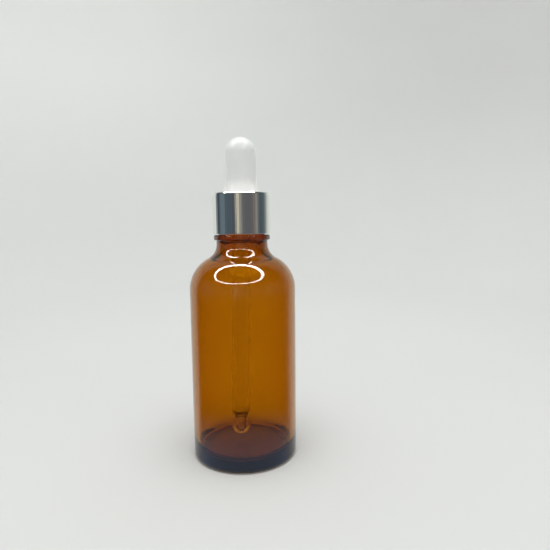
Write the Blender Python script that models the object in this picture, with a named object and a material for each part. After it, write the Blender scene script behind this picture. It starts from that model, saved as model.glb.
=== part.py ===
"""A dropper bottle of amber glass with its screw closure: cap, metal shell, bulb and pipette.

Every piece is turned about the bottle's own axis, which is the world's Z, and stands on Z = 0.
Run with blender --background --python part.py, or from the text editor.
"""

import math

import bmesh
import bpy

# Driving dimensions, in metres.
SEAT_GAP = 0.00025  # between two pieces that touch

BODY_RADIUS = 0.0186
BOTTLE_HEIGHT = 0.08985
SHOULDER_HEIGHT = 0.0596  # where the straight wall ends
SHOULDER_RADIUS = 0.0125  # of the arc that rounds the shoulder
FILLET_RADIUS = 0.0058  # of the hollow arc between shoulder and neck
NECK_RADIUS = 0.00895
HEEL_RADIUS = 0.0022
REST_RING_INNER = 0.0140
PUSH_UP = 0.0010  # rise of the base's middle above what the bottle stands on
BASE_THICKNESS = 0.0030
WALL = 0.0018
INNER_CORNER = 0.0040
INNER_FILLET = 0.0090
BORE_RADIUS = 0.00575
BEAD_RADIUS = 0.00985
BEAD_BOTTOM = 0.0768
BEAD_TOP = 0.0786
BEAD_ROUNDING = 0.0004
LIP_ROUNDING = 0.0006

THREAD_PITCH = 0.0030
THREAD_TURNS = 1.75
THREAD_ROOT = 0.0079
THREAD_CREST = 0.0088
THREAD_BASE_WIDTH = 0.0017
THREAD_TIP_WIDTH = 0.0007
THREAD_FADE = 0.12  # of a turn, over which each end of a thread runs out
THREAD_TOP = 0.0880  # middle of the bottle's thread at its upper end
THREAD_CLEARANCE = 0.00025
THREAD_ROOT_SINK = 0.0004  # how deep a thread's foot goes into the wall that carries it

CAP_BOTTOM = 0.07915
CAP_TOP = 0.0923
CAP_TOP_THICKNESS = 0.00085
CAP_RADIUS = 0.0096
CAP_CORNER = 0.0007

SHELL_RADIUS = 0.0102
SHELL_WALL = 0.00035
SHELL_BOTTOM = 0.0789
SHELL_CORNER = 0.0005

BULB_RADIUS = 0.0053
BULB_TOP = 0.1120
BULB_WALL = 0.0011
BULB_SKIRT_START = 0.0978  # where the bulb begins to widen on its way down
BULB_THROAT_RADIUS = 0.0064
BULB_FLANGE_RADIUS = 0.0086
BULB_FLANGE_THICKNESS = 0.0011
BULB_GRIP_TOP = 0.0966  # the bulb holds the pipette from its flange up to here

PIPETTE_RADIUS = 0.0034
PIPETTE_WALL = 0.0010
PIPETTE_RIM_RADIUS = 0.0039
PIPETTE_TOP = 0.0981
PIPETTE_TIP = 0.0066
TIP_WAIST_HEIGHT = 0.0125
TIP_WAIST_RADIUS = 0.0027
TIP_BALL_RADIUS = 0.0031
TIP_BALL_HEIGHT = 0.0088
TIP_SHOULDER = 0.0008  # height of the step from the waist out to the tube
TIP_HOLE_RADIUS = 0.0006

# How finely each round stretch is divided.
BOTTLE_STEPS = 48  # around the axis, and the same for the next two
CLOSURE_STEPS = 48
PIPETTE_STEPS = 28
THREAD_STEPS = 36  # to a turn
SHOULDER_STEPS = 9
INNER_SHOULDER_STEPS = 7
CORNER_STEPS = 5
EDGE_STEPS = 3
CROWN_STEPS = 4
SKIRT_STEPS = 4
DOME_STEPS = 8
SMOOTH_ANGLE = math.radians(35)
MERGE_DISTANCE = 1e-6

# Colours, as linear red, green and blue.
AMBER = (0.30, 0.10, 0.01)
MOULDED_WHITE = (0.85, 0.85, 0.83)
BRIGHT_METAL = (0.80, 0.81, 0.82)
SILICONE_WHITE = (0.80, 0.80, 0.78)
CLEAR = (0.95, 0.97, 0.96)


def clear_scene():
    for obj in list(bpy.data.objects):
        bpy.data.objects.remove(obj, do_unlink=True)


def material(name, colour, roughness, metallic=0.0, transmission=0.0):
    made = bpy.data.materials.new(name)
    made.use_nodes = True
    shader = made.node_tree.nodes["Principled BSDF"]
    shader.inputs["Base Color"].default_value = (*colour, 1.0)
    shader.inputs["Roughness"].default_value = roughness
    shader.inputs["Metallic"].default_value = metallic
    shader.inputs["Transmission Weight"].default_value = transmission
    return made


def arc(centre, radius, start, end, steps):
    """Points (radius, height) along an arc about centre, from one angle to another in degrees."""
    points = []
    for step in range(steps + 1):
        angle = math.radians(start + (end - start) * step / steps)
        points.append((centre[0] + radius * math.cos(angle), centre[1] + radius * math.sin(angle)))
    return points


def shoulder_and_neck(wall_radius, start, shoulder, neck_radius, fillet, steps):
    """A convex arc that leaves a straight wall at height start, then the hollow arc into the neck."""
    shoulder_centre = (wall_radius - shoulder, start)
    across = neck_radius + fillet - shoulder_centre[0]
    fillet_height = start + math.sqrt((shoulder + fillet) ** 2 - across**2)
    fillet_centre = (neck_radius + fillet, fillet_height)
    meeting = math.degrees(math.atan2(fillet_height - start, across))
    outer = arc(shoulder_centre, shoulder, 0, meeting, steps)
    hollow = arc(fillet_centre, fillet, meeting + 180, 180, steps - 2)
    return outer + hollow[1:]


def crown(top, edge_radius, edge_height, steps):
    """Points from the axis at height top out to the edge, on a shallow parabola."""
    points = []
    for step in range(steps + 1):
        share = step / steps
        points.append((edge_radius * share, top + (edge_height - top) * share**2))
    return points


def new_object(name, shape, look):
    bmesh.ops.remove_doubles(shape, verts=shape.verts, dist=MERGE_DISTANCE)
    bmesh.ops.recalc_face_normals(shape, faces=shape.faces)
    mesh = bpy.data.meshes.new(name)
    shape.to_mesh(mesh)
    shape.free()
    mesh.shade_smooth()
    mesh.set_sharp_from_angle(angle=SMOOTH_ANGLE)
    mesh.materials.append(look)
    made = bpy.data.objects.new(name, mesh)
    bpy.context.collection.objects.link(made)
    return made


def turned(name, outline, look, steps):
    """A solid turned about Z from its outline. An outline that starts on the axis also ends there."""
    shape = bmesh.new()
    points = [shape.verts.new((radius, 0, height)) for radius, height in outline]
    edges = [shape.edges.new(pair) for pair in zip(points, points[1:])]
    if outline[0][0] > MERGE_DISTANCE:
        edges.append(shape.edges.new((points[-1], points[0])))
    bmesh.ops.spin(
        shape,
        geom=points + edges,
        cent=(0, 0, 0),
        axis=(0, 0, 1),
        angle=math.tau,
        steps=steps,
        use_merge=True,
    )
    return new_object(name, shape, look)


def helical_ridge(name, foot, crest, top, look):
    """A thread's ridge, from its upper end down, turning right-handed. foot and crest are its radii."""
    shape = bmesh.new()
    count = round(THREAD_TURNS * THREAD_STEPS)
    sunk_foot = foot + math.copysign(THREAD_ROOT_SINK, foot - crest)
    rings = []
    for step in range(count + 1):
        turn = step / THREAD_STEPS
        height = top - THREAD_PITCH * turn
        fade = min(1.0, turn / THREAD_FADE, (THREAD_TURNS - turn) / THREAD_FADE)
        tip_radius = foot + (crest - foot) * fade
        angle = -math.tau * turn
        section = (
            (sunk_foot, height - THREAD_BASE_WIDTH / 2),
            (sunk_foot, height + THREAD_BASE_WIDTH / 2),
            (foot, height + THREAD_BASE_WIDTH / 2),
            (tip_radius, height + THREAD_TIP_WIDTH / 2),
            (tip_radius, height - THREAD_TIP_WIDTH / 2),
            (foot, height - THREAD_BASE_WIDTH / 2),
        )
        rings.append(
            [shape.verts.new((r * math.cos(angle), r * math.sin(angle), z)) for r, z in section]
        )
    for ring, following in zip(rings, rings[1:]):
        for corner in range(len(ring)):
            beside = (corner + 1) % len(ring)
            shape.faces.new((ring[corner], ring[beside], following[beside], following[corner]))
    shape.faces.new(rings[0])
    shape.faces.new(rings[-1])
    ridge = new_object(name, shape, look)
    ridge.hide_render = True
    ridge.display_type = "WIRE"
    return ridge


def join(target, tool):
    union = target.modifiers.new("Join " + tool.name, "BOOLEAN")
    union.operation = "UNION"
    union.solver = "EXACT"
    union.object = tool


def bottle_outline():
    """From the middle of the base out, up the outside, over the lip and down the inside to the floor."""
    base = crown(PUSH_UP, REST_RING_INNER, 0.0, CROWN_STEPS)
    heel = arc((BODY_RADIUS - HEEL_RADIUS, HEEL_RADIUS), HEEL_RADIUS, -90, 0, CORNER_STEPS)
    shoulder = shoulder_and_neck(
        BODY_RADIUS, SHOULDER_HEIGHT, SHOULDER_RADIUS, NECK_RADIUS, FILLET_RADIUS, SHOULDER_STEPS
    )
    bead_inset = BEAD_RADIUS - BEAD_ROUNDING
    bead = [(NECK_RADIUS, BEAD_BOTTOM)]
    bead += arc((bead_inset, BEAD_BOTTOM + BEAD_ROUNDING), BEAD_ROUNDING, -90, 0, EDGE_STEPS)
    bead += arc((bead_inset, BEAD_TOP - BEAD_ROUNDING), BEAD_ROUNDING, 0, 90, EDGE_STEPS)
    lip_height = BOTTLE_HEIGHT - LIP_ROUNDING
    lip_outer = arc((THREAD_ROOT - LIP_ROUNDING, lip_height), LIP_ROUNDING, 0, 90, EDGE_STEPS)
    lip_inner = arc((BORE_RADIUS + LIP_ROUNDING, lip_height), LIP_ROUNDING, 90, 180, EDGE_STEPS)
    inside = shoulder_and_neck(
        BODY_RADIUS - WALL,
        SHOULDER_HEIGHT,
        SHOULDER_RADIUS - WALL,
        BORE_RADIUS,
        INNER_FILLET,
        INNER_SHOULDER_STEPS,
    )
    floor_centre = PUSH_UP + BASE_THICKNESS
    floor_edge = floor_centre - PUSH_UP
    corner_centre = (BODY_RADIUS - WALL - INNER_CORNER, floor_edge + INNER_CORNER)
    corner = arc(corner_centre, INNER_CORNER, 0, -90, CORNER_STEPS)
    floor = crown(floor_centre, corner_centre[0], floor_edge, CROWN_STEPS - 1)
    finish = [(THREAD_ROOT, BEAD_TOP)]
    return (
        base + heel + shoulder + bead + finish + lip_outer + lip_inner
        + inside[::-1] + corner + floor[::-1][1:]
    )


def make_bottle(look):
    bottle = turned("bottle", bottle_outline(), look, BOTTLE_STEPS)
    thread = helical_ridge("bottle_thread", THREAD_ROOT, THREAD_CREST, THREAD_TOP, look)
    join(bottle, thread)
    return bottle


def make_inner_cap(look):
    groove = THREAD_CREST + THREAD_CLEARANCE
    hole = BULB_THROAT_RADIUS + SEAT_GAP
    underside = CAP_TOP - CAP_TOP_THICKNESS
    outline = [(groove, CAP_BOTTOM), (CAP_RADIUS, CAP_BOTTOM)]
    outline += arc((CAP_RADIUS - CAP_CORNER, CAP_TOP - CAP_CORNER), CAP_CORNER, 0, 90, EDGE_STEPS)
    outline += [(hole, CAP_TOP), (hole, underside), (groove, underside)]
    cap = turned("inner_cap", outline, look, CLOSURE_STEPS)
    thread = helical_ridge(
        "cap_thread",
        groove,
        THREAD_ROOT + THREAD_CLEARANCE,
        THREAD_TOP - THREAD_PITCH / 2,
        look,
    )
    join(cap, thread)
    return cap


def make_overshell(look):
    inner = SHELL_RADIUS - SHELL_WALL
    top = CAP_TOP + SEAT_GAP + SHELL_WALL
    hole = BULB_THROAT_RADIUS + SEAT_GAP
    inner_corner = SHELL_CORNER - SHELL_WALL
    corner_centre = (SHELL_RADIUS - SHELL_CORNER, top - SHELL_CORNER)
    outline = [(inner, SHELL_BOTTOM), (SHELL_RADIUS, SHELL_BOTTOM)]
    outline += arc(corner_centre, SHELL_CORNER, 0, 90, CORNER_STEPS)
    outline += [(hole, top), (hole, top - SHELL_WALL)]
    outline += arc(corner_centre, inner_corner, 90, 0, CORNER_STEPS - 1)
    return turned("overshell", outline, look, CLOSURE_STEPS)


def bulb_outline():
    """From the top of the dome down the outside, round the flange, and up the inside to the axis."""
    inner_radius = BULB_RADIUS - BULB_WALL
    flange_bottom = BOTTLE_HEIGHT + SEAT_GAP
    flange_top = flange_bottom + BULB_FLANGE_THICKNESS
    grip = PIPETTE_RADIUS + SEAT_GAP
    skirt_foot = CAP_TOP + 2 * SEAT_GAP + SHELL_WALL
    dome_centre = (0, BULB_TOP - BULB_RADIUS)
    skirt = []
    for step in range(SKIRT_STEPS + 1):
        share = step / SKIRT_STEPS
        flare = (BULB_THROAT_RADIUS - BULB_RADIUS) * share**2
        skirt.append((BULB_RADIUS + flare, BULB_SKIRT_START + (skirt_foot - BULB_SKIRT_START) * share))
    outline = arc(dome_centre, BULB_RADIUS, 90, 0, DOME_STEPS) + skirt
    outline += [(BULB_THROAT_RADIUS, flange_top), (BULB_FLANGE_RADIUS, flange_top)]
    outline += [(BULB_FLANGE_RADIUS, flange_bottom), (grip, flange_bottom)]
    outline += [(grip, BULB_GRIP_TOP), (inner_radius, BULB_GRIP_TOP)]
    outline += arc(dome_centre, inner_radius, 0, 90, DOME_STEPS - 2)
    return outline


def make_bulb(look):
    return turned("bulb", bulb_outline(), look, CLOSURE_STEPS)


def pipette_outline():
    """From the tip's hole out, up the outside, over the flared rim and down the bore."""
    bore = PIPETTE_RADIUS - PIPETTE_WALL
    ball_rounding = TIP_BALL_HEIGHT - PIPETTE_TIP
    rim = PIPETTE_RIM_RADIUS - PIPETTE_RADIUS
    outline = [(TIP_HOLE_RADIUS, PIPETTE_TIP)]
    ball_centre = (TIP_BALL_RADIUS - ball_rounding, TIP_BALL_HEIGHT)
    outline += arc(ball_centre, ball_rounding, -90, 0, CORNER_STEPS)
    outline += [(TIP_WAIST_RADIUS, TIP_WAIST_HEIGHT)]
    outline += [(PIPETTE_RADIUS, TIP_WAIST_HEIGHT + TIP_SHOULDER)]
    outline += [(PIPETTE_RADIUS, PIPETTE_TOP - 3 * rim)]
    outline += arc((PIPETTE_RADIUS, PIPETTE_TOP - rim), rim, 0, 90, EDGE_STEPS)
    outline += [(bore + rim, PIPETTE_TOP), (bore, PIPETTE_TOP - 2 * rim)]
    outline += [(bore, TIP_WAIST_HEIGHT + 2 * TIP_SHOULDER), (bore / 2, TIP_WAIST_HEIGHT)]
    outline += [(bore / 2, TIP_BALL_HEIGHT), (TIP_HOLE_RADIUS, PIPETTE_TIP + ball_rounding / 2)]
    return outline


def make_pipette(look):
    return turned("pipette", pipette_outline(), look, PIPETTE_STEPS)


def main():
    clear_scene()
    make_bottle(material("amber_glass", AMBER, roughness=0.05, transmission=1.0))
    make_inner_cap(material("cap_plastic", MOULDED_WHITE, roughness=0.4))
    make_overshell(material("polished_aluminium", BRIGHT_METAL, roughness=0.15, metallic=1.0))
    make_bulb(material("bulb_silicone", SILICONE_WHITE, roughness=0.45))
    make_pipette(material("pipette_glass", CLEAR, roughness=0.03, transmission=1.0))


main()
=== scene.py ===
"""Looks of a dropper bottle: amber glass, clear pipette, silicone bulb, aluminium shell and threaded cap.

Run as a script, it builds every piece and the stage. Registered, it lists a button for each in the sidebar.
"""

import math

import bmesh
import bpy
from bpy.props import FloatProperty, FloatVectorProperty, IntProperty, PointerProperty
from mathutils import Matrix, Vector, noise


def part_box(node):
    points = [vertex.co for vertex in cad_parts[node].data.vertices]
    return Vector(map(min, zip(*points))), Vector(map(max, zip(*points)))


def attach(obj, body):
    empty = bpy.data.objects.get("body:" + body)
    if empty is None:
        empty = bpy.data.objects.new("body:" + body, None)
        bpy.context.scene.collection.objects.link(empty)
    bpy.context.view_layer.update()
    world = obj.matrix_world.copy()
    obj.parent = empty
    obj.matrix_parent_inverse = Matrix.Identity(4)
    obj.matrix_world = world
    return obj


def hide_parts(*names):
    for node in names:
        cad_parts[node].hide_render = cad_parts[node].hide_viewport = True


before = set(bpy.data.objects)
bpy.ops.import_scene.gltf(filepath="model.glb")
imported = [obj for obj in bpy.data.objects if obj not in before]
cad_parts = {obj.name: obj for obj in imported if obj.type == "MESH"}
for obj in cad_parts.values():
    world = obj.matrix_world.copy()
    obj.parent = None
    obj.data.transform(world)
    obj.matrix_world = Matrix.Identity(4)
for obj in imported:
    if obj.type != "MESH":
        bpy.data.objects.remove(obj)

bl_info = {
    "name": "Dropper Bottle",
    "version": (1, 0, 0),
    "blender": (4, 5, 0),
    "location": "View3D > Sidebar > Dropper Bottle",
    "description": "Glass, closure, bulb and pipette of a dropper bottle, and a stage for it",
    "category": "Object",
}

MERGE_DISTANCE = 1e-6
MM = 0.001

BOTTLE_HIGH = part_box("bottle")[1]
CAP_LOW, CAP_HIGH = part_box("inner_cap")
SHELL_LOW, SHELL_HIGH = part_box("overshell")
BULB_LOW, BULB_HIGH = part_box("bulb")
PIPETTE_LOW, PIPETTE_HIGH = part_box("pipette")
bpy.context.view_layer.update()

# How finely an outline is cut: steps along each of its arcs and curves.
EDGE_STEPS = 6
HEEL_STEPS = 12
CROWN_STEPS = 14
SHOULDER_STEPS = 26
INNER_SHOULDER_STEPS = 22
DOME_STEPS = 26
INNER_DOME_STEPS = 18
SKIRT_STEPS = 12
BALL_STEPS = 10
FLARE_STEPS = 8
CHANNEL_STEPS = 3

# Faces round the axis.
BULB_ROUND = 128
CAP_ROUND = 120
PIPETTE_ROUND = 96
THREAD_ROUND = 72
BOWL_ROUND = 64

# An edge that turns by more than this, in degrees, is shaded as an edge.
TURNED_SHARP = 50.0
THREADED_SHARP = 40.0

# A thread's ridge: how deep it is sunk in the wall, the part of a turn over which it runs out at its ends,
# and the part of its height that is left there.
RIDGE_SUNK = 0.4 * MM
RIDGE_RUN_OUT = 0.12
LEAST_RIDGE = 0.06

# The stage, in metres: a bowl of a floor with a wall, a ring lamp and a round softbox.
BOWL_FLAT = 0.40
BOWL_BEND = 0.50
BOWL_WALL = 0.40
BOWL_STEPS = 16
LAMP_REACH = (0.327, 0.262, 1.0)
LAMP_PLACE = (-0.059, -0.262, 0.358)
LAMP_OUTER = 1.13
LAMP_ROUND = 96
LAMP_COLOUR = (1.0, 0.95, 0.90)
LAMP_STRENGTH = 30.0
SOFTBOX_PLACE = (0.02, -0.15, 0.85)
SOFTBOX_AIM = (0, 0, 0.05)
SOFTBOX_SIZE = 0.7
SOFTBOX_WATTS = 5.0
SOFTBOX_COLOUR = (1.0, 0.99, 0.97)

# Pale light that falls on everything, and tones of the dim room that gloss shows instead.
TENT = (0.74, 0.755, 0.74)
SHEET = (0.76, 0.78, 0.73)
DUSK = (0.075, 0.105, 0.125)
GREY = (0.12, 0.12, 0.125)
CEILING = (0.02, 0.02, 0.016)
BENCH = (0.035, 0.028, 0.016)
TABLE_SHINE = (0.58, 0.70, 0.95)
TABLE_SIDES = (0.62, 0.63, 0.62)
# What stands round the bottle: (degrees from the front, positive to the right; colour).
ROOM = (
    (-180, SHEET),
    (-113, SHEET),
    (-106, (0.085, 0.11, 0.125)),
    (-99, (0.02, 0.025, 0.03)),
    (-91, (0.10, 0.13, 0.155)),
    (-71, (0.16, 0.21, 0.225)),
    (-58, DUSK),
    (-30, (0.085, 0.10, 0.12)),
    (-18, (0.13, 0.13, 0.13)),
    (-12, (0.95, 0.86, 0.66)),
    (-6, (0.30, 0.28, 0.23)),
    (4, (0.25, 0.245, 0.22)),
    (11, GREY),
    (40, GREY),
    (52, (0.16, 0.145, 0.125)),
    (61, (0.32, 0.27, 0.225)),
    (69, (0.22, 0.22, 0.20)),
    (74, DUSK),
    (103, (0.10, 0.125, 0.125)),
    (132, SHEET),
    (180, SHEET),
)
# Heights over which one zone of the room gives way to the next, in degrees above the horizon.
CEILING_EDGE = (12, 30)
BENCH_EDGE = (-11, -4)
TABLE_EDGE = (-28, -22)
NEAR_TABLE_EDGE = (-44, -36)
# Where the front gives way to the sides, in parts of a turn, and how far the ceiling fades there.
SIDES_EDGE = (0.27, 0.34)
CEILING_FADE = 0.6
# One pass through glass counts for more than all the reflections that a path may have.
GLASS_WEIGHT = 30.0


def length(name, description, default):
    return FloatProperty(
        name=name, description=description, default=default, min=0.0, unit="LENGTH", precision=5
    )


def colour(name, description, default):
    return FloatVectorProperty(
        name=name, description=description, default=default, subtype="COLOR", size=3, min=0.0, max=1.0
    )


# ---------------------------------------------------------------------------------------------
# Sizes and finishes that a user may change


class BottleSettings(bpy.types.PropertyGroup):
    radius: length("Body radius", "Outside of the straight wall", BOTTLE_HIGH.x)
    height: length("Height", "From the table to the lip", BOTTLE_HIGH.z)
    shoulder_height: length("Shoulder height", "Where the straight wall ends", BOTTLE_HIGH.z - 0.03025)
    shoulder_radius: length("Shoulder radius", "Arc that rounds the shoulder", 0.01236)
    fillet_radius: length("Neck fillet", "Hollow arc between shoulder and neck", 0.0055)
    neck_radius: length("Neck radius", "Outside of the neck below the bead", 0.00895)
    heel_radius: length("Heel radius", "Rounding where the wall meets the base", 0.0013)
    ring_radius: length("Rest ring radius", "Inner edge of the ring it stands on", 0.0140)
    push_up: length("Push-up", "Rise of the middle of the base", 0.0010)
    base_thickness: length("Base thickness", "Glass in the middle of the base", 0.0030)
    wall: length("Wall", "Thickness of the body's wall", 0.0018)
    inner_corner: length("Inner corner", "Rounding inside, where wall meets floor", 0.0040)
    inner_fillet: length("Inner fillet", "Rounding inside, where shoulder meets bore", 0.0090)
    bore_radius: length("Bore radius", "Inside of the neck", 0.00575)
    bead_radius: length("Bead radius", "Outside of the ring below the closure", 0.00985)
    bead_bottom: length("Bead bottom", "Height of the ring's underside", BOTTLE_HIGH.z - 0.01305)
    bead_top: length("Bead top", "Height of the ring's upper side", BOTTLE_HIGH.z - 0.01125)
    unevenness: length("Unevenness", "How far the inner wall wanders", 0.00005)
    tint: colour("Surface tint", "Tint that each face of the glass adds", (0.90, 0.66, 0.30))
    absorbed: colour("Glass colour", "Colour that the glass lets through", (0.893, 0.785, 0.0))
    density: FloatProperty(
        name="Glass density", description="Absorption for each metre of glass", default=1450.0, min=0.0
    )


class ThreadSettings(bpy.types.PropertyGroup):
    pitch: length("Pitch", "Rise of the thread in one turn", 0.0030)
    turns: FloatProperty(name="Turns", description="Turns of thread", default=1.75, min=0.5)
    root: length("Root radius", "Neck between the threads", 0.0079)
    crest: length("Crest radius", "Outside of the bottle's thread", 0.0088)
    base_width: length("Base width", "Width of a thread at its foot", 0.0017)
    tip_width: length("Tip width", "Width of a thread at its crest", 0.0007)
    top: length("Top", "Middle of the bottle's thread at its upper end", BOTTLE_HIGH.z - 0.00185)
    clearance: length("Clearance", "Between the two threads", 0.00025)


class ClosureSettings(bpy.types.PropertyGroup):
    shell_wall: length("Shell wall", "Thickness of the metal", 0.00035)
    shell_corner: length("Shell corner", "Rounding of the shell's top edge", 0.0005)
    cap_top: length("Cap top", "Thickness of the plastic cap's top", 0.00085)
    cap_corner: length("Cap corner", "Rounding of the plastic cap's top edge", 0.0007)
    hole_radius: length("Hole radius", "Hole that the bulb comes through", 0.00665)
    metal: colour("Metal", "Colour of the polished metal", (0.87, 0.88, 0.89))
    plastic: colour("Plastic", "Colour of the moulded cap", (0.80, 0.80, 0.78))


class BulbSettings(bpy.types.PropertyGroup):
    radius: length("Radius", "Outside of the bulb's straight part", 0.0053)
    wall: length("Wall", "Thickness of the rubber", 0.0011)
    skirt_start: length("Skirt start", "Height where the bulb begins to widen", BULB_HIGH.z - 0.0142)
    throat_radius: length("Throat radius", "Where it passes through the closure", 0.0065)
    flange_thickness: length("Flange thickness", "Ring clamped on the lip", 0.0011)
    grip_radius: length("Grip radius", "Hole that holds the pipette", 0.0035)
    grip_top: length("Grip top", "Upper end of the part that holds the pipette", BULB_HIGH.z - 0.0154)
    rubber: colour("Rubber", "Colour of the silicone", (0.75, 0.76, 0.755))


class PipetteSettings(bpy.types.PropertyGroup):
    radius: length("Radius", "Outside of the tube", 0.0034)
    wall: length("Wall", "Thickness of the tube", 0.0010)
    waist_height: length("Waist height", "Height of the narrow place above the tip", 0.0125)
    waist_radius: length("Waist radius", "Outside of the narrow place", 0.0029)
    ball_radius: length("Ball radius", "Outside of the ball tip", 0.0031)
    ball_height: length("Ball height", "Height of the ball's widest place", 0.0088)
    shoulder: length("Step", "Height of the step from waist to tube", 0.0014)
    hole_radius: length("Hole radius", "Hole in the tip", 0.0006)
    channel_radius: length("Channel radius", "Inside of the tip above its hole", 0.0013)
    lean: FloatProperty(
        name="Lean", description="How far the tube hangs off upright", default=0.0180, unit="ROTATION"
    )


class StageSettings(bpy.types.PropertyGroup):
    lens: FloatProperty(
        name="Lens", description="Focal length of the camera in millimetres", default=30.0, min=1.0
    )
    camera_side: FloatProperty(
        name="Camera to the side", description="Along X", default=0.01146, unit="LENGTH"
    )
    camera_distance: length("Camera distance", "In front of the bottle's axis", 0.16155)
    camera_height: length("Camera height", "Above the table", 0.08174)
    camera_dip: FloatProperty(
        name="Camera dip", description="How far the camera looks down", default=0.108, unit="ROTATION"
    )
    camera_roll: FloatProperty(
        name="Camera roll", description="Turn about the line of sight", default=-0.0105, unit="ROTATION"
    )
    # Floor, far floor and wall tones are painted light: far floor and wall are paler to make up for less
    # light there.
    floor: colour("Floor", "Colour of the floor round the bottle", (0.62, 0.63, 0.625))
    far_floor: colour("Far floor", "Colour of the floor near the wall", (0.70, 0.71, 0.705))
    wall: colour("Wall", "Colour of the wall", (0.87, 0.875, 0.87))
    steps: IntProperty(name="Round steps", description="Faces round bottle and shell", default=160, min=24)


# ---------------------------------------------------------------------------------------------
# Shaders


class Signal:
    """A shader socket on which Python's own sums add the nodes."""

    def __init__(self, shader, socket):
        self.shader = shader
        self.socket = socket

    def math(self, operation, *others):
        return self.shader.math(operation, self, *others)

    def __add__(self, other):
        return self.math("ADD", other)

    def __sub__(self, other):
        return self.math("SUBTRACT", other)

    def __rsub__(self, other):
        return self.shader.math("SUBTRACT", other, self)

    def __mul__(self, other):
        return self.math("MULTIPLY", other)

    def __truediv__(self, other):
        return self.math("DIVIDE", other)

    def __rtruediv__(self, other):
        return self.shader.math("DIVIDE", other, self)

    def __neg__(self):
        return self * -1

    __radd__ = __add__
    __rmul__ = __mul__


class Shader:
    """A node tree to which nodes are added by type, settings and socket values."""

    def __init__(self, tree):
        self.tree = tree
        self.tree.nodes.clear()

    def node(self, kind, settings=None, inputs=None):
        made = self.tree.nodes.new("ShaderNode" + kind)
        for name, value in (settings or {}).items():
            setattr(made, name, value)
        for name, value in (inputs or {}).items():
            if isinstance(value, Signal):
                self.tree.links.new(value.socket, made.inputs[name])
            else:
                made.inputs[name].default_value = value
        return made

    def signal(self, kind, settings=None, inputs=None, output=0):
        return Signal(self, self.node(kind, settings, inputs).outputs[output])

    def math(self, operation, *values):
        return self.signal("Math", {"operation": operation}, dict(enumerate(values)))

    def place(self):
        """The piece's own coordinates: (vector, x, y, z)."""
        where = self.signal("TexCoord", output="Object")
        return where, *self.split(where)

    def split(self, vector):
        made = self.node("SeparateXYZ", inputs={0: vector})
        return [Signal(self, socket) for socket in made.outputs]

    def combine(self, x, y, z):
        return self.signal("CombineXYZ", inputs={0: x, 1: y, 2: z})

    def noise(self, vector, scale, detail=2.0, roughness=0.5):
        inputs = {"Vector": vector, "Scale": scale, "Detail": detail, "Roughness": roughness}
        return self.signal("TexNoise", inputs=inputs)

    def step(self, value, low, high, to_low=0.0, to_high=1.0):
        """Smoothly from to_low, where value is low, to to_high, where it is high."""
        settings = {"interpolation_type": "SMOOTHSTEP"}
        inputs = {0: value, 1: low, 2: high, 3: to_low, 4: to_high}
        return self.signal("MapRange", settings, inputs)

    def blend(self, factor, first, second):
        """From the first colour to the second, as factor goes from 0 to 1."""
        inputs = {"Factor": factor, 6: first, 7: second}
        return self.signal("Mix", {"data_type": "RGBA"}, inputs, output=2)

    def bump(self, height, distance, strength=1.0):
        inputs = {"Height": height, "Distance": distance, "Strength": strength}
        return self.signal("Bump", inputs=inputs)

    def ramp(self, value, stops):
        """A colour that goes through stops of (position, colour) as value goes from 0 to 1."""
        made = self.node("ValToRGB", inputs={0: value})
        band = made.color_ramp.elements
        while len(band) < len(stops):
            band.new(0.5)
        for element, (position, rgb) in zip(band, stops):
            element.position = position
            element.color = opaque(rgb)
        return Signal(self, made.outputs[0])

    def surface(self, inputs):
        shader = self.node("BsdfPrincipled", inputs=inputs)
        out = self.node("OutputMaterial")
        self.tree.links.new(shader.outputs["BSDF"], out.inputs["Surface"])
        return out


def opaque(rgb):
    return (*rgb, 1.0)


def new_material(name):
    made = bpy.data.materials.new(name)
    made.use_nodes = True
    return made, Shader(made.node_tree)


def tinted_glass(name, tint, absorbed, density, ior, height, depth):
    """Glass with part of its tint on its faces and the rest in its thickness, and faintly wavy skin."""
    material, shader = new_material(name)
    waves = shader.bump(height(shader), depth)
    out = shader.surface(
        {
            "Base Color": opaque(tint),
            "Roughness": 0.0,
            "IOR": ior,
            "Transmission Weight": 1.0,
            "Normal": waves,
        }
    )
    volume = shader.node("VolumeAbsorption", inputs={"Color": opaque(absorbed), "Density": density})
    shader.tree.links.new(volume.outputs[0], out.inputs["Volume"])
    return material


def mould_waves(shader):
    """Slow waves left by the mould, and a finer skin on them."""
    where = shader.place()[0]
    slow = shader.noise(where, 90.0, 1.0)
    fine = shader.noise(where, 420.0, 2.0)
    return slow + fine * 0.15


def drawn_lines(shader):
    """Long lines along Z, as on drawn tube."""
    x, y, z = shader.place()[1:]
    return shader.noise(shader.combine(x * 700.0, y * 700.0, z * 14.0), 1.0, 2.0)


def amber_glass(settings):
    return tinted_glass(
        "amber_glass",
        tint=settings.tint,
        absorbed=settings.absorbed,
        density=settings.density,
        ior=1.52,
        height=mould_waves,
        depth=0.00002,
    )


def clear_glass():
    return tinted_glass(
        "clear_glass",
        tint=(0.96, 0.955, 0.935),
        absorbed=(0.92, 0.96, 0.92),
        density=40.0,
        ior=1.474,
        height=drawn_lines,
        depth=0.000006,
    )


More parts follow.
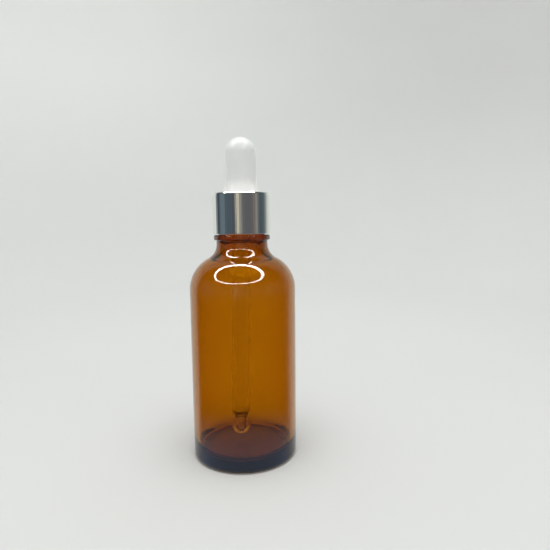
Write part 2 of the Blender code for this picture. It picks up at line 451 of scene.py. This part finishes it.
def silicone(settings):
    """Soft white rubber: light goes a little way in, and its faintly glossy skin holds some dust."""
    material, shader = new_material("white_silicone")
    where = shader.place()[0]
    cloud = shader.noise(where, 160.0, 3.0)
    grain = shader.noise(where, 5200.0, 2.0)
    speck = shader.step(shader.noise(where, 2300.0, 1.0), 0.76, 0.80)
    tone = shader.blend(cloud, opaque(settings.rubber), opaque([part * 0.96 for part in settings.rubber]))
    tone = shader.blend(speck * 0.35, tone, opaque((0.52, 0.51, 0.48)))
    shader.surface(
        {
            "Base Color": tone,
            "Roughness": 0.01 + cloud * 0.02,
            "IOR": 1.41,
            "Specular IOR Level": 0.28,
            "Subsurface Weight": 0.6,
            "Subsurface Radius": (1.0, 0.95, 0.9),
            "Subsurface Scale": 0.0016,
            "Normal": shader.bump(grain, 0.000004, 0.5),
        }
    )
    return material


def polished_aluminium(settings):
    """Bright metal, drawn along Z, with hair lines, scratches and dull streaks on the side of the sleeve."""
    material, shader = new_material("polished_aluminium")
    where, x, y, z = shader.place()
    around = shader.math("ARCTAN2", y, x)
    hair = shader.noise(shader.combine(around * 150.0, z * 60.0, 0.0), 1.0, 3.0, 0.6)
    band = shader.noise(shader.combine(around * 17.0, z * 12.0, 3.0), 1.0, 2.0)
    worn = shader.noise(where, 240.0, 3.0)
    metal = settings.metal
    scratch = shader.noise(shader.combine(around * 60.0, z * 25.0, 7.0), 1.0, 2.0)
    streak = shader.noise(shader.combine(around * 15.0, z * 9.0, 11.0), 1.0, 3.0)
    on_side = shader.step(z, SHELL_HIGH.z - 1.0 * MM, SHELL_HIGH.z - 0.4 * MM, 1.0, 0.0)
    tone = shader.blend(hair * on_side, opaque(metal), opaque([part * 0.88 for part in metal]))
    tone = shader.blend(shader.step(scratch, 0.60, 0.72) * on_side * 0.45, tone, opaque((1.0, 1.0, 1.0)))
    dull = opaque([part * 0.5 for part in metal])
    tone = shader.blend(shader.step(streak, 0.50, 0.64) * on_side * 0.30, tone, dull)
    shader.surface(
        {
            "Base Color": tone,
            "Metallic": 1.0,
            "Roughness": 0.05 + hair * 0.04 + worn * 0.04,
            "Normal": shader.bump((hair * 0.2 + band) * on_side, 0.00004),
        }
    )
    return material


def moulded_plastic(settings):
    """Plain white plastic with a fine grain."""
    material, shader = new_material("moulded_plastic")
    where = shader.place()[0]
    cloud = shader.noise(where, 300.0, 3.0)
    grain = shader.noise(where, 4200.0, 2.0)
    plastic = settings.plastic
    shader.surface(
        {
            "Base Color": shader.blend(cloud, opaque(plastic), opaque([part * 0.93 for part in plastic])),
            "Roughness": 0.34 + cloud * 0.12,
            "Subsurface Weight": 0.2,
            "Subsurface Radius": (1.0, 1.0, 1.0),
            "Subsurface Scale": 0.0008,
            "Normal": shader.bump(grain, 0.00001, 0.5),
        }
    )
    return material


def pale_paper(settings):
    """Faintly cloudy matt card; painted light pales wall and far floor, painted shade darkens the right."""
    material, shader = new_material("pale_paper")
    where, x, y, z = shader.place()
    cloud = shader.noise(where, 9.0, 4.0)
    # Painted light: the far floor and the wall get paler tones to make up for the light that falls off
    # there.
    tone = shader.blend(shader.step(y, 0.02, 0.45), opaque(settings.floor), opaque(settings.far_floor))
    tone = shader.blend(shader.step(z, 0.05, 0.45), tone, opaque(settings.wall))
    # Painted shade: the wall darkens towards the right.
    shade = shader.step(x, -0.45, 0.45, 0.02, 0.22) * shader.step(z, 0.05, 0.40)
    tone = shader.blend(shade + cloud * 0.03, tone, opaque((0.0, 0.0, 0.0)))
    shader.surface(
        {
            "Base Color": tone,
            "Roughness": 0.85,
            "Specular IOR Level": 0.1,
        }
    )
    return material


def glow(name, rgb, strength):
    material, shader = new_material(name)
    emission = shader.node("Emission", inputs={"Color": opaque(rgb), "Strength": strength})
    out = shader.node("OutputMaterial")
    shader.tree.links.new(emission.outputs[0], out.inputs["Surface"])
    return material


# ---------------------------------------------------------------------------------------------
# Outlines, as (radius, height)


def arc(centre, radius, start, end, steps):
    """Points along an arc about centre, from one angle to another in degrees."""
    points = []
    for step in range(steps + 1):
        angle = math.radians(start + (end - start) * step / steps)
        points.append((centre[0] + radius * math.cos(angle), centre[1] + radius * math.sin(angle)))
    return points


def rounded(corners, steps=5):
    """An outline through corners of (radius, height, rounding), each corner cut off by an arc."""
    points = []
    for place, (across, up, rounding) in enumerate(corners):
        corner = Vector((across, up))
        if not rounding or place in (0, len(corners) - 1):
            points.append(tuple(corner))
            continue
        before = (Vector(corners[place - 1][:2]) - corner).normalized()
        after = (Vector(corners[place + 1][:2]) - corner).normalized()
        half = before.angle(after) / 2
        centre = corner + (before + after).normalized() * rounding / math.sin(half)
        reach = rounding / math.tan(half)
        start = corner + before * reach - centre
        end = corner + after * reach - centre
        for step in range(steps + 1):
            spoke = start.slerp(end, step / steps).normalized() * rounding
            points.append(tuple(centre + spoke))
    return points


def shoulder_and_neck(wall_radius, start, shoulder, neck_radius, fillet, steps):
    """The convex arc that leaves a straight wall at height start, and the hollow one up into the neck."""
    across = neck_radius + fillet - (wall_radius - shoulder)
    fillet_height = start + math.sqrt((shoulder + fillet) ** 2 - across**2)
    meeting = math.degrees(math.atan2(fillet_height - start, across))
    outer = arc((wall_radius - shoulder, start), shoulder, 0, meeting, steps)
    hollow = arc((neck_radius + fillet, fillet_height), fillet, meeting + 180, 180, steps)
    return outer + hollow[1:]


def crown(top, edge_radius, edge_height, steps):
    """Points from the axis at height top out to the edge, on a shallow parabola."""
    points = []
    for step in range(steps + 1):
        part = step / steps
        points.append((edge_radius * part, top + (edge_height - top) * part**2))
    return points


def divided(outline, longest):
    """The same outline with its long straight runs cut into equal lengths."""
    points = [outline[0]]
    for start, end in zip(outline, outline[1:]):
        count = max(1, math.ceil(math.dist(start, end) / longest))
        for step in range(1, count + 1):
            part = step / count
            points.append((start[0] + (end[0] - start[0]) * part, start[1] + (end[1] - start[1]) * part))
    return points


def bottle_outline(bottle, thread):
    """From the middle of the base out, up the outside, over the lip and down the inside to the floor."""
    inner_radius = bottle.radius - bottle.wall
    floor_middle = bottle.push_up + bottle.base_thickness
    floor_edge = bottle.base_thickness
    corner_centre = (inner_radius - bottle.inner_corner, floor_edge + bottle.inner_corner)
    base = crown(bottle.push_up, bottle.ring_radius, 0.0, CROWN_STEPS)
    heel_centre = (bottle.radius - bottle.heel_radius, bottle.heel_radius)
    heel = arc(heel_centre, bottle.heel_radius, -90, 0, HEEL_STEPS)
    shoulder = shoulder_and_neck(
        bottle.radius,
        bottle.shoulder_height,
        bottle.shoulder_radius,
        bottle.neck_radius,
        bottle.fillet_radius,
        SHOULDER_STEPS,
    )
    finish = rounded(
        [
            (bottle.neck_radius, bottle.bead_bottom - 1.0 * MM, 0),
            (bottle.neck_radius, bottle.bead_bottom, 0.25 * MM),
            (bottle.bead_radius, bottle.bead_bottom, 0.4 * MM),
            (bottle.bead_radius, bottle.bead_top, 0.5 * MM),
            (thread.root, bottle.bead_top, 0.3 * MM),
            (thread.root, bottle.height, 0.6 * MM),
            (bottle.bore_radius, bottle.height, 0.6 * MM),
            (bottle.bore_radius, bottle.bead_bottom, 0),
        ],
        steps=EDGE_STEPS,
    )
    inside = shoulder_and_neck(
        inner_radius,
        bottle.shoulder_height,
        bottle.shoulder_radius - bottle.wall,
        bottle.bore_radius,
        bottle.inner_fillet,
        INNER_SHOULDER_STEPS,
    )
    corner = arc(corner_centre, bottle.inner_corner, 0, -90, HEEL_STEPS)
    floor = crown(floor_middle, corner_centre[0], floor_edge, CROWN_STEPS)
    outside = base + heel + shoulder + finish
    return divided(outside + inside[::-1] + corner + floor[::-1][1:], longest=1.6 * MM)


def bulb_outline(bulb):
    """From the top of the dome down the outside, round the flange, and up the inside to the axis."""
    inner_radius = bulb.radius - bulb.wall
    top = BULB_HIGH.z
    flange_bottom = BULB_LOW.z
    flange_top = flange_bottom + bulb.flange_thickness
    flange_radius = BULB_HIGH.x
    skirt_foot = SHELL_HIGH.z
    skirt = []
    for step in range(SKIRT_STEPS + 1):
        part = step / SKIRT_STEPS
        flare = (bulb.throat_radius - bulb.radius) * part**2
        skirt.append((bulb.radius + flare, bulb.skirt_start + (skirt_foot - bulb.skirt_start) * part))
    dome_centre = (0.0, top - bulb.radius)
    outline = arc(dome_centre, bulb.radius, 90, 0, DOME_STEPS) + skirt
    outline += rounded(
        [
            (bulb.throat_radius, skirt_foot - 0.1 * MM, 0),
            (bulb.throat_radius, flange_top, 0.2 * MM),
            (flange_radius, flange_top, 0.2 * MM),
            (flange_radius, flange_bottom, 0.2 * MM),
            (bulb.grip_radius, flange_bottom, 0.2 * MM),
            (bulb.grip_radius, bulb.grip_top, 0.2 * MM),
            (inner_radius, bulb.grip_top, 0.2 * MM),
            (inner_radius, bulb.grip_top + 1.0 * MM, 0),
        ]
    )
    outline += arc(dome_centre, inner_radius, 0, 90, INNER_DOME_STEPS)
    return divided(outline, longest=1.2 * MM)


def swept(start, end, steps):
    """Points from start to end along half a wave, level at both ends, leaving out the start."""
    points = []
    for step in range(1, steps + 1):
        part = step / steps
        blend = (1 - math.cos(math.pi * part)) / 2
        points.append((start[0] + (end[0] - start[0]) * blend, start[1] + (end[1] - start[1]) * part))
    return points


def pipette_outline(pipette):
    """From the tip's hole out round the ball, up the outside, over the flared rim and down the bore."""
    bore = pipette.radius - pipette.wall
    tip, top = PIPETTE_LOW.z, PIPETTE_HIGH.z
    rim_radius = PIPETTE_HIGH.x
    rim = rim_radius - pipette.radius
    step_top = pipette.waist_height + pipette.shoulder
    rounding = pipette.ball_height - tip
    waist = (pipette.waist_radius, pipette.waist_height)
    flare_foot = top - 4 * rim
    outside = arc((pipette.ball_radius - rounding, pipette.ball_height), rounding, -90, 0, BALL_STEPS)
    outside += swept(outside[-1], waist, BALL_STEPS)
    outside += swept(waist, (pipette.radius, step_top), FLARE_STEPS)
    outside += [(pipette.radius, flare_foot)]
    outside += swept(outside[-1], (rim_radius, top - 1.2 * rim), FLARE_STEPS)
    outside += arc((rim_radius - rim * 0.6, top - rim * 0.6), rim * 0.6, 0, 180, BALL_STEPS)
    channel_end = (pipette.channel_radius, pipette.ball_height)
    inside = swept(outside[-1], (bore, flare_foot), FLARE_STEPS)
    inside += [(bore, step_top + 1.6 * MM)]
    inside += swept(inside[-1], (pipette.channel_radius, pipette.waist_height - 0.2 * MM), BALL_STEPS)
    inside += swept(inside[-1], channel_end, CHANNEL_STEPS)
    inside += swept(channel_end, (pipette.hole_radius, tip + 0.9 * MM), EDGE_STEPS)
    return divided([(pipette.hole_radius, tip + 0.12 * MM)] + outside + inside, longest=2.0 * MM)


def shell_outline(closure):
    """From the lower edge up the outside, over the top to the hole, and back down the inside."""
    radius, bottom, top = SHELL_HIGH.x, SHELL_LOW.z, SHELL_HIGH.z
    wall, corner = closure.shell_wall, closure.shell_corner
    edge = wall * 0.45
    return divided(
        rounded(
            [
                (radius - wall / 2, bottom, 0),
                (radius, bottom, edge),
                (radius, top, corner),
                (closure.hole_radius, top, edge),
                (closure.hole_radius, top - wall, edge),
                (radius - wall, top - wall, corner - wall),
                (radius - wall, bottom, edge),
            ],
            steps=7,
        ),
        longest=1.0 * MM,
    )


def cap_outline(closure, thread):
    """From the lower edge up the outside, over the top to the hole, and back down the threaded wall."""
    radius, bottom, top = CAP_HIGH.x, CAP_LOW.z, CAP_HIGH.z
    groove = thread.crest + thread.clearance
    underside = top - closure.cap_top
    middle = (radius + groove) / 2
    return divided(
        rounded(
            [
                (middle, bottom, 0),
                (radius, bottom, 0.15 * MM),
                (radius, top, closure.cap_corner),
                (closure.hole_radius, top, 0.15 * MM),
                (closure.hole_radius, underside, 0.15 * MM),
                (groove, underside, 0.25 * MM),
                (groove, bottom, 0.15 * MM),
            ]
        ),
        longest=1.0 * MM,
    )


# ---------------------------------------------------------------------------------------------
# Solids


def turned(outline, steps):
    """A solid turned about Z. An outline that starts on the axis also ends there."""
    shape = bmesh.new()
    points = [shape.verts.new((across, 0, up)) for across, up in outline]
    edges = [shape.edges.new(pair) for pair in zip(points, points[1:])]
    if outline[0][0] > MERGE_DISTANCE:
        edges.append(shape.edges.new((points[-1], points[0])))
    bmesh.ops.spin(
        shape,
        geom=points + edges,
        cent=(0, 0, 0),
        axis=(0, 0, 1),
        angle=math.tau,
        steps=steps,
        use_merge=True,
    )
    tidy(shape)
    return shape


def tidy(shape):
    bmesh.ops.remove_doubles(shape, verts=shape.verts, dist=MERGE_DISTANCE)
    bmesh.ops.recalc_face_normals(shape, faces=shape.faces)


def helical_ridge(thread, foot, crest, top):
    """A right-handed thread's ridge from its upper end down, running out at both ends."""
    shape = bmesh.new()
    sunk = foot + math.copysign(RIDGE_SUNK, foot - crest)
    half_base, half_tip = thread.base_width / 2, thread.tip_width / 2
    section = [(sunk, -half_base), (foot, -half_base), (crest, -half_tip)]
    section += [(across, -up) for across, up in reversed(section)]
    points = [shape.verts.new((across, 0, top + up)) for across, up in section]
    ring = [shape.edges.new((point, points[place - 1])) for place, point in enumerate(points)]
    count = round(thread.turns * THREAD_ROUND)
    fade_steps = RIDGE_RUN_OUT * THREAD_ROUND
    draw_in([points[2], points[3]], foot, crest, 0.0)
    for step in range(1, count + 1):
        made = bmesh.ops.spin(
            shape,
            geom=ring,
            cent=(0, 0, 0),
            axis=(0, 0, 1),
            dvec=(0, 0, -thread.pitch / THREAD_ROUND),
            angle=-math.tau / THREAD_ROUND,
            steps=1,
        )
        ring = [part for part in made["geom_last"] if isinstance(part, bmesh.types.BMEdge)]
        tips = [point for point in {end for edge in ring for end in edge.verts} if tip_of(point, foot, sunk)]
        draw_in(tips, foot, crest, min(1.0, step / fade_steps, (count - step) / fade_steps))
    bmesh.ops.holes_fill(shape, edges=[edge for edge in shape.edges if edge.is_boundary], sides=0)
    tidy(shape)
    return shape


def tip_of(point, foot, sunk):
    """Whether the point is on the crest's side of a ridge's foot."""
    return (point.co.xy.length - foot) * (foot - sunk) > 0.02 * MM * abs(foot - sunk)


def draw_in(points, foot, crest, part):
    """Sets how far the crest's points stand out from the foot, from 0 to 1."""
    reach = foot + (crest - foot) * max(part, LEAST_RIDGE)
    for point in points:
        point.co.xy = point.co.xy.normalized() * reach


def wander_inner_wall(shape, bottle):
    """Lets the inner wall of the body wander as blown glass does, and leaves neck and floor as they are."""
    inner = bottle.radius - bottle.wall / 2
    low, high, fade_height = 6 * MM, bottle.shoulder_height + 4 * MM, 6 * MM
    for point in shape.verts:
        radius = point.co.xy.length
        if radius > inner or radius < inner - 3 * MM or not low < point.co.z < high:
            continue
        fade = min(1.0, (point.co.z - low) / fade_height, (high - point.co.z) / fade_height)
        wave = noise.noise(point.co * 85.0) + 0.5 * noise.noise(point.co * 190.0)
        point.co.xy *= 1 + bottle.unevenness * wave * fade / radius


def finished(name, shape, look, body, node):
    """Makes a piece of a turned solid."""
    mesh = bpy.data.meshes.new(name)
    shape.to_mesh(mesh)
    shape.free()
    place_piece(name, mesh, look, body, node, TURNED_SHARP)


def place_piece(name, mesh, look, body, node, sharp):
    """Has a mesh ride on its body in place of its node, smooth but for its sharp edges."""
    mesh.shade_smooth()
    mesh.set_sharp_from_angle(angle=math.radians(sharp))
    mesh.materials.clear()
    mesh.materials.append(look)
    piece = bpy.data.objects.new(name, mesh)
    bpy.context.scene.collection.objects.link(piece)
    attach(piece, body)
    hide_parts(node)


def joined(shape, ridge):
    """One mesh of a turned solid and the ridge that stands on it."""
    parts = []
    for part in (shape, ridge):
        mesh = bpy.data.meshes.new("part")
        part.to_mesh(mesh)
        part.free()
        parts.append(bpy.data.objects.new("part", mesh))
        bpy.context.scene.collection.objects.link(parts[-1])
    whole, tool = parts
    union = whole.modifiers.new("Join", "BOOLEAN")
    union.operation = "UNION"
    union.solver = "EXACT"
    union.object = tool
    graph = bpy.context.evaluated_depsgraph_get()
    mesh = bpy.data.meshes.new_from_object(whole.evaluated_get(graph))
    for part in parts:
        bpy.data.objects.remove(part, do_unlink=True)
    return mesh


# ---------------------------------------------------------------------------------------------
# Operators


class DROPPER_OT_bottle(bpy.types.Operator):
    """Make the amber bottle with its bead and screw thread"""

    bl_idname = "dropper.bottle"
    bl_label = "Bottle"

    def execute(self, context):
        bottle, thread = context.scene.dropper_bottle, context.scene.dropper_thread
        shape = turned(bottle_outline(bottle, thread), context.scene.dropper_stage.steps)
        wander_inner_wall(shape, bottle)
        ridge = helical_ridge(thread, thread.root, thread.crest, thread.top)
        mesh = joined(shape, ridge)
        look = amber_glass(bottle)
        place_piece("amber_bottle", mesh, look, "bottle", "bottle", THREADED_SHARP)
        return {"FINISHED"}


class DROPPER_OT_pipette(bpy.types.Operator):
    """Make the clear glass pipette with its ball tip and flared rim"""

    bl_idname = "dropper.pipette"
    bl_label = "Pipette"

    def execute(self, context):
        pipette = context.scene.dropper_pipette
        shape = turned(pipette_outline(pipette), PIPETTE_ROUND)
        held_at = Vector((0, 0, (BULB_LOW.z + context.scene.dropper_bulb.grip_top) / 2))
        leaning = Matrix.Rotation(pipette.lean, 3, "Y")
        bmesh.ops.rotate(shape, verts=shape.verts, cent=held_at, matrix=leaning)
        finished("glass_pipette", shape, clear_glass(), "dropper", "pipette")
        return {"FINISHED"}


class DROPPER_OT_bulb(bpy.types.Operator):
    """Make the silicone bulb with its skirt and sealing flange"""

    bl_idname = "dropper.bulb"
    bl_label = "Bulb"

    def execute(self, context):
        bulb = context.scene.dropper_bulb
        shape = turned(bulb_outline(bulb), BULB_ROUND)
        finished("silicone_bulb", shape, silicone(bulb), "dropper", "bulb")
        return {"FINISHED"}


class DROPPER_OT_shell(bpy.types.Operator):
    """Make the polished metal shell of the closure"""

    bl_idname = "dropper.shell"
    bl_label = "Metal shell"

    def execute(self, context):
        closure = context.scene.dropper_closure
        shape = turned(shell_outline(closure), context.scene.dropper_stage.steps)
        look = polished_aluminium(closure)
        finished("metal_shell", shape, look, "cap", "overshell")
        return {"FINISHED"}


class DROPPER_OT_cap(bpy.types.Operator):
    """Make the threaded plastic cap inside the shell"""

    bl_idname = "dropper.cap"
    bl_label = "Threaded cap"

    def execute(self, context):
        closure, thread = context.scene.dropper_closure, context.scene.dropper_thread
        shape = turned(cap_outline(closure, thread), CAP_ROUND)
        ridge = helical_ridge(
            thread,
            thread.crest + thread.clearance,
            thread.root + thread.clearance,
            thread.top - thread.pitch / 2,
        )
        mesh = joined(shape, ridge)
        look = moulded_plastic(closure)
        place_piece("threaded_cap", mesh, look, "cap", "inner_cap", THREADED_SHARP)
        return {"FINISHED"}


class DROPPER_OT_stage(bpy.types.Operator):
    """Make the floor, the backdrop, the lights and the camera"""

    bl_idname = "dropper.stage"
    bl_label = "Stage"

    def execute(self, context):
        settings = context.scene.dropper_stage
        make_backdrop(settings)
        make_ring_lamp()
        make_softbox()
        make_tent(context.scene)
        make_camera(context.scene, settings)
        set_light_paths(context.scene)
        return {"FINISHED"}


def stage_object(name, shape, look):
    mesh = bpy.data.meshes.new(name)
    shape.to_mesh(mesh)
    shape.free()
    mesh.shade_smooth()
    mesh.materials.append(look)
    made = bpy.data.objects.new(name, mesh)
    bpy.context.scene.collection.objects.link(made)
    return made


def make_backdrop(settings):
    """A round floor that curves up into a wall on every side. Gloss shows what is beyond it instead."""
    shape = bmesh.new()
    profile = [(0.0, 0.0), (BOWL_FLAT, 0.0)]
    profile += arc((BOWL_FLAT, BOWL_BEND), BOWL_BEND, -90, 0, BOWL_STEPS)
    profile += [(BOWL_FLAT + BOWL_BEND, BOWL_BEND + BOWL_WALL)]
    points = [shape.verts.new((across, 0, up)) for across, up in profile]
    edges = [shape.edges.new(pair) for pair in zip(points, points[1:])]
    bmesh.ops.spin(
        shape,
        geom=points + edges,
        cent=(0, 0, 0),
        axis=(0, 0, 1),
        angle=math.tau,
        steps=BOWL_ROUND,
        use_merge=True,
    )
    tidy(shape)
    backdrop = stage_object("backdrop", shape, pale_paper(settings))
    backdrop.visible_glossy = False


def make_ring_lamp():
    """A ring lamp over and in front of the bottle, which lights no matt surface."""
    shape = bmesh.new()
    bmesh.ops.create_circle(shape, segments=LAMP_ROUND, radius=1.0, cap_ends=False)
    made = bmesh.ops.extrude_edge_only(shape, edges=list(shape.edges))
    outer = [part for part in made["geom"] if isinstance(part, bmesh.types.BMVert)]
    bmesh.ops.scale(shape, vec=(LAMP_OUTER, LAMP_OUTER, 1.0), verts=outer)
    bmesh.ops.scale(shape, vec=LAMP_REACH, verts=shape.verts)
    bmesh.ops.translate(shape, vec=LAMP_PLACE, verts=shape.verts)
    lamp = stage_object("ring_lamp", shape, glow("ring_glow", LAMP_COLOUR, LAMP_STRENGTH))
    lamp.visible_diffuse = False
    lamp.visible_camera = False
    lamp.visible_transmission = False
    lamp.visible_shadow = False


def make_softbox():
    """A round soft light overhead, which gloss doesn't show."""
    light = bpy.data.lights.new("softbox", "AREA")
    light.shape = "DISK"
    light.size = SOFTBOX_SIZE
    light.energy = SOFTBOX_WATTS
    light.color = SOFTBOX_COLOUR
    made = bpy.data.objects.new("softbox", light)
    bpy.context.scene.collection.objects.link(made)
    made.location = SOFTBOX_PLACE
    made.rotation_euler = (Vector(SOFTBOX_AIM) - made.location).to_track_quat("-Z", "Y").to_euler()
    made.visible_glossy = False
    made.visible_camera = False


def make_tent(scene):
    """Pale light from all round. Gloss on the outside of a piece shows a dim room instead."""
    world = bpy.data.worlds.new("tent")
    world.use_nodes = True
    scene.world = world
    shader = Shader(world.node_tree)
    x, y, z = shader.split(shader.signal("TexCoord", output="Generated"))
    around = shader.math("ARCTAN2", x, -y) / math.tau + 0.5
    up = shader.math("ARCSINE", z) * math.degrees(1)
    room = shader.ramp(around, [((angle + 180) / 360, rgb) for angle, rgb in ROOM])
    sides = shader.step(shader.math("ABSOLUTE", around - 0.5), *SIDES_EDGE)
    ceiling_part = shader.step(up, *CEILING_EDGE) * (1.0 - sides * CEILING_FADE)
    room = shader.blend(ceiling_part, room, opaque(CEILING))
    bench = shader.blend(sides, opaque(BENCH), room)
    near_or_side = shader.math("MAXIMUM", sides, shader.step(up, *NEAR_TABLE_EDGE, 1, 0))
    table = shader.blend(near_or_side, opaque(TABLE_SHINE), opaque(TABLE_SIDES))
    room = shader.blend(shader.step(up, *BENCH_EDGE, 1, 0), room, bench)
    room = shader.blend(shader.step(up, *TABLE_EDGE, 1, 0), room, table)
    path = shader.node("LightPath")
    reflections = Signal(shader, path.outputs["Glossy Depth"])
    passes_through_glass = Signal(shader, path.outputs["Transmission Depth"])
    reflected = shader.math("GREATER_THAN", reflections - passes_through_glass * GLASS_WEIGHT, 0.5)
    background = shader.node("Background", inputs={"Color": shader.blend(reflected, opaque(TENT), room)})
    out = shader.node("OutputWorld")
    shader.tree.links.new(background.outputs[0], out.inputs["Surface"])


def make_camera(scene, settings):
    data = bpy.data.cameras.new("camera")
    data.lens = settings.lens
    data.sensor_width = 36.0
    data.clip_start = 0.005
    camera = bpy.data.objects.new("camera", data)
    scene.collection.objects.link(camera)
    look = Matrix.Rotation(math.pi / 2 - settings.camera_dip, 4, "X")
    roll = Matrix.Rotation(settings.camera_roll, 4, "Z")
    place = (settings.camera_side, -settings.camera_distance, settings.camera_height)
    camera.matrix_world = Matrix.Translation(place) @ look @ roll
    scene.camera = camera


def set_light_paths(scene):
    """Thick glass needs more bounces than the defaults, and the colours are shown as they are."""
    scene.view_settings.view_transform = "Standard"
    scene.cycles.max_bounces = 28
    scene.cycles.transmission_bounces = 24
    scene.cycles.glossy_bounces = 12
    scene.cycles.sample_clamp_indirect = 0.0


class DROPPER_PT_panel(bpy.types.Panel):
    """Lists the pieces of the dropper bottle"""

    bl_idname = "DROPPER_PT_panel"
    bl_label = "Dropper Bottle"
    bl_space_type = "VIEW_3D"
    bl_region_type = "UI"
    bl_category = "Dropper Bottle"

    def draw(self, context):
        for operator in OPERATORS:
            self.layout.operator(operator.bl_idname)
        for name in SETTINGS:
            settings = getattr(context.scene, name)
            box = self.layout.box()
            box.label(text=name.removeprefix("dropper_").capitalize())
            for key in settings.__annotations__:
                box.prop(settings, key)


SETTINGS = {
    "dropper_bottle": BottleSettings,
    "dropper_thread": ThreadSettings,
    "dropper_closure": ClosureSettings,
    "dropper_bulb": BulbSettings,
    "dropper_pipette": PipetteSettings,
    "dropper_stage": StageSettings,
}
OPERATORS = (
    DROPPER_OT_stage,
    DROPPER_OT_bottle,
    DROPPER_OT_pipette,
    DROPPER_OT_bulb,
    DROPPER_OT_cap,
    DROPPER_OT_shell,
)


def register():
    for group in (*SETTINGS.values(), *OPERATORS, DROPPER_PT_panel):
        bpy.utils.register_class(group)
    for name, group in SETTINGS.items():
        setattr(bpy.types.Scene, name, PointerProperty(type=group))


def unregister():
    for name in SETTINGS:
        delattr(bpy.types.Scene, name)
    for group in (DROPPER_PT_panel, *reversed(OPERATORS), *SETTINGS.values()):
        bpy.utils.unregister_class(group)


def main():
    register()
    for operator in OPERATORS:
        group, name = operator.bl_idname.split(".")
        getattr(getattr(bpy.ops, group), name)()


if __name__ == "__main__":
    main()
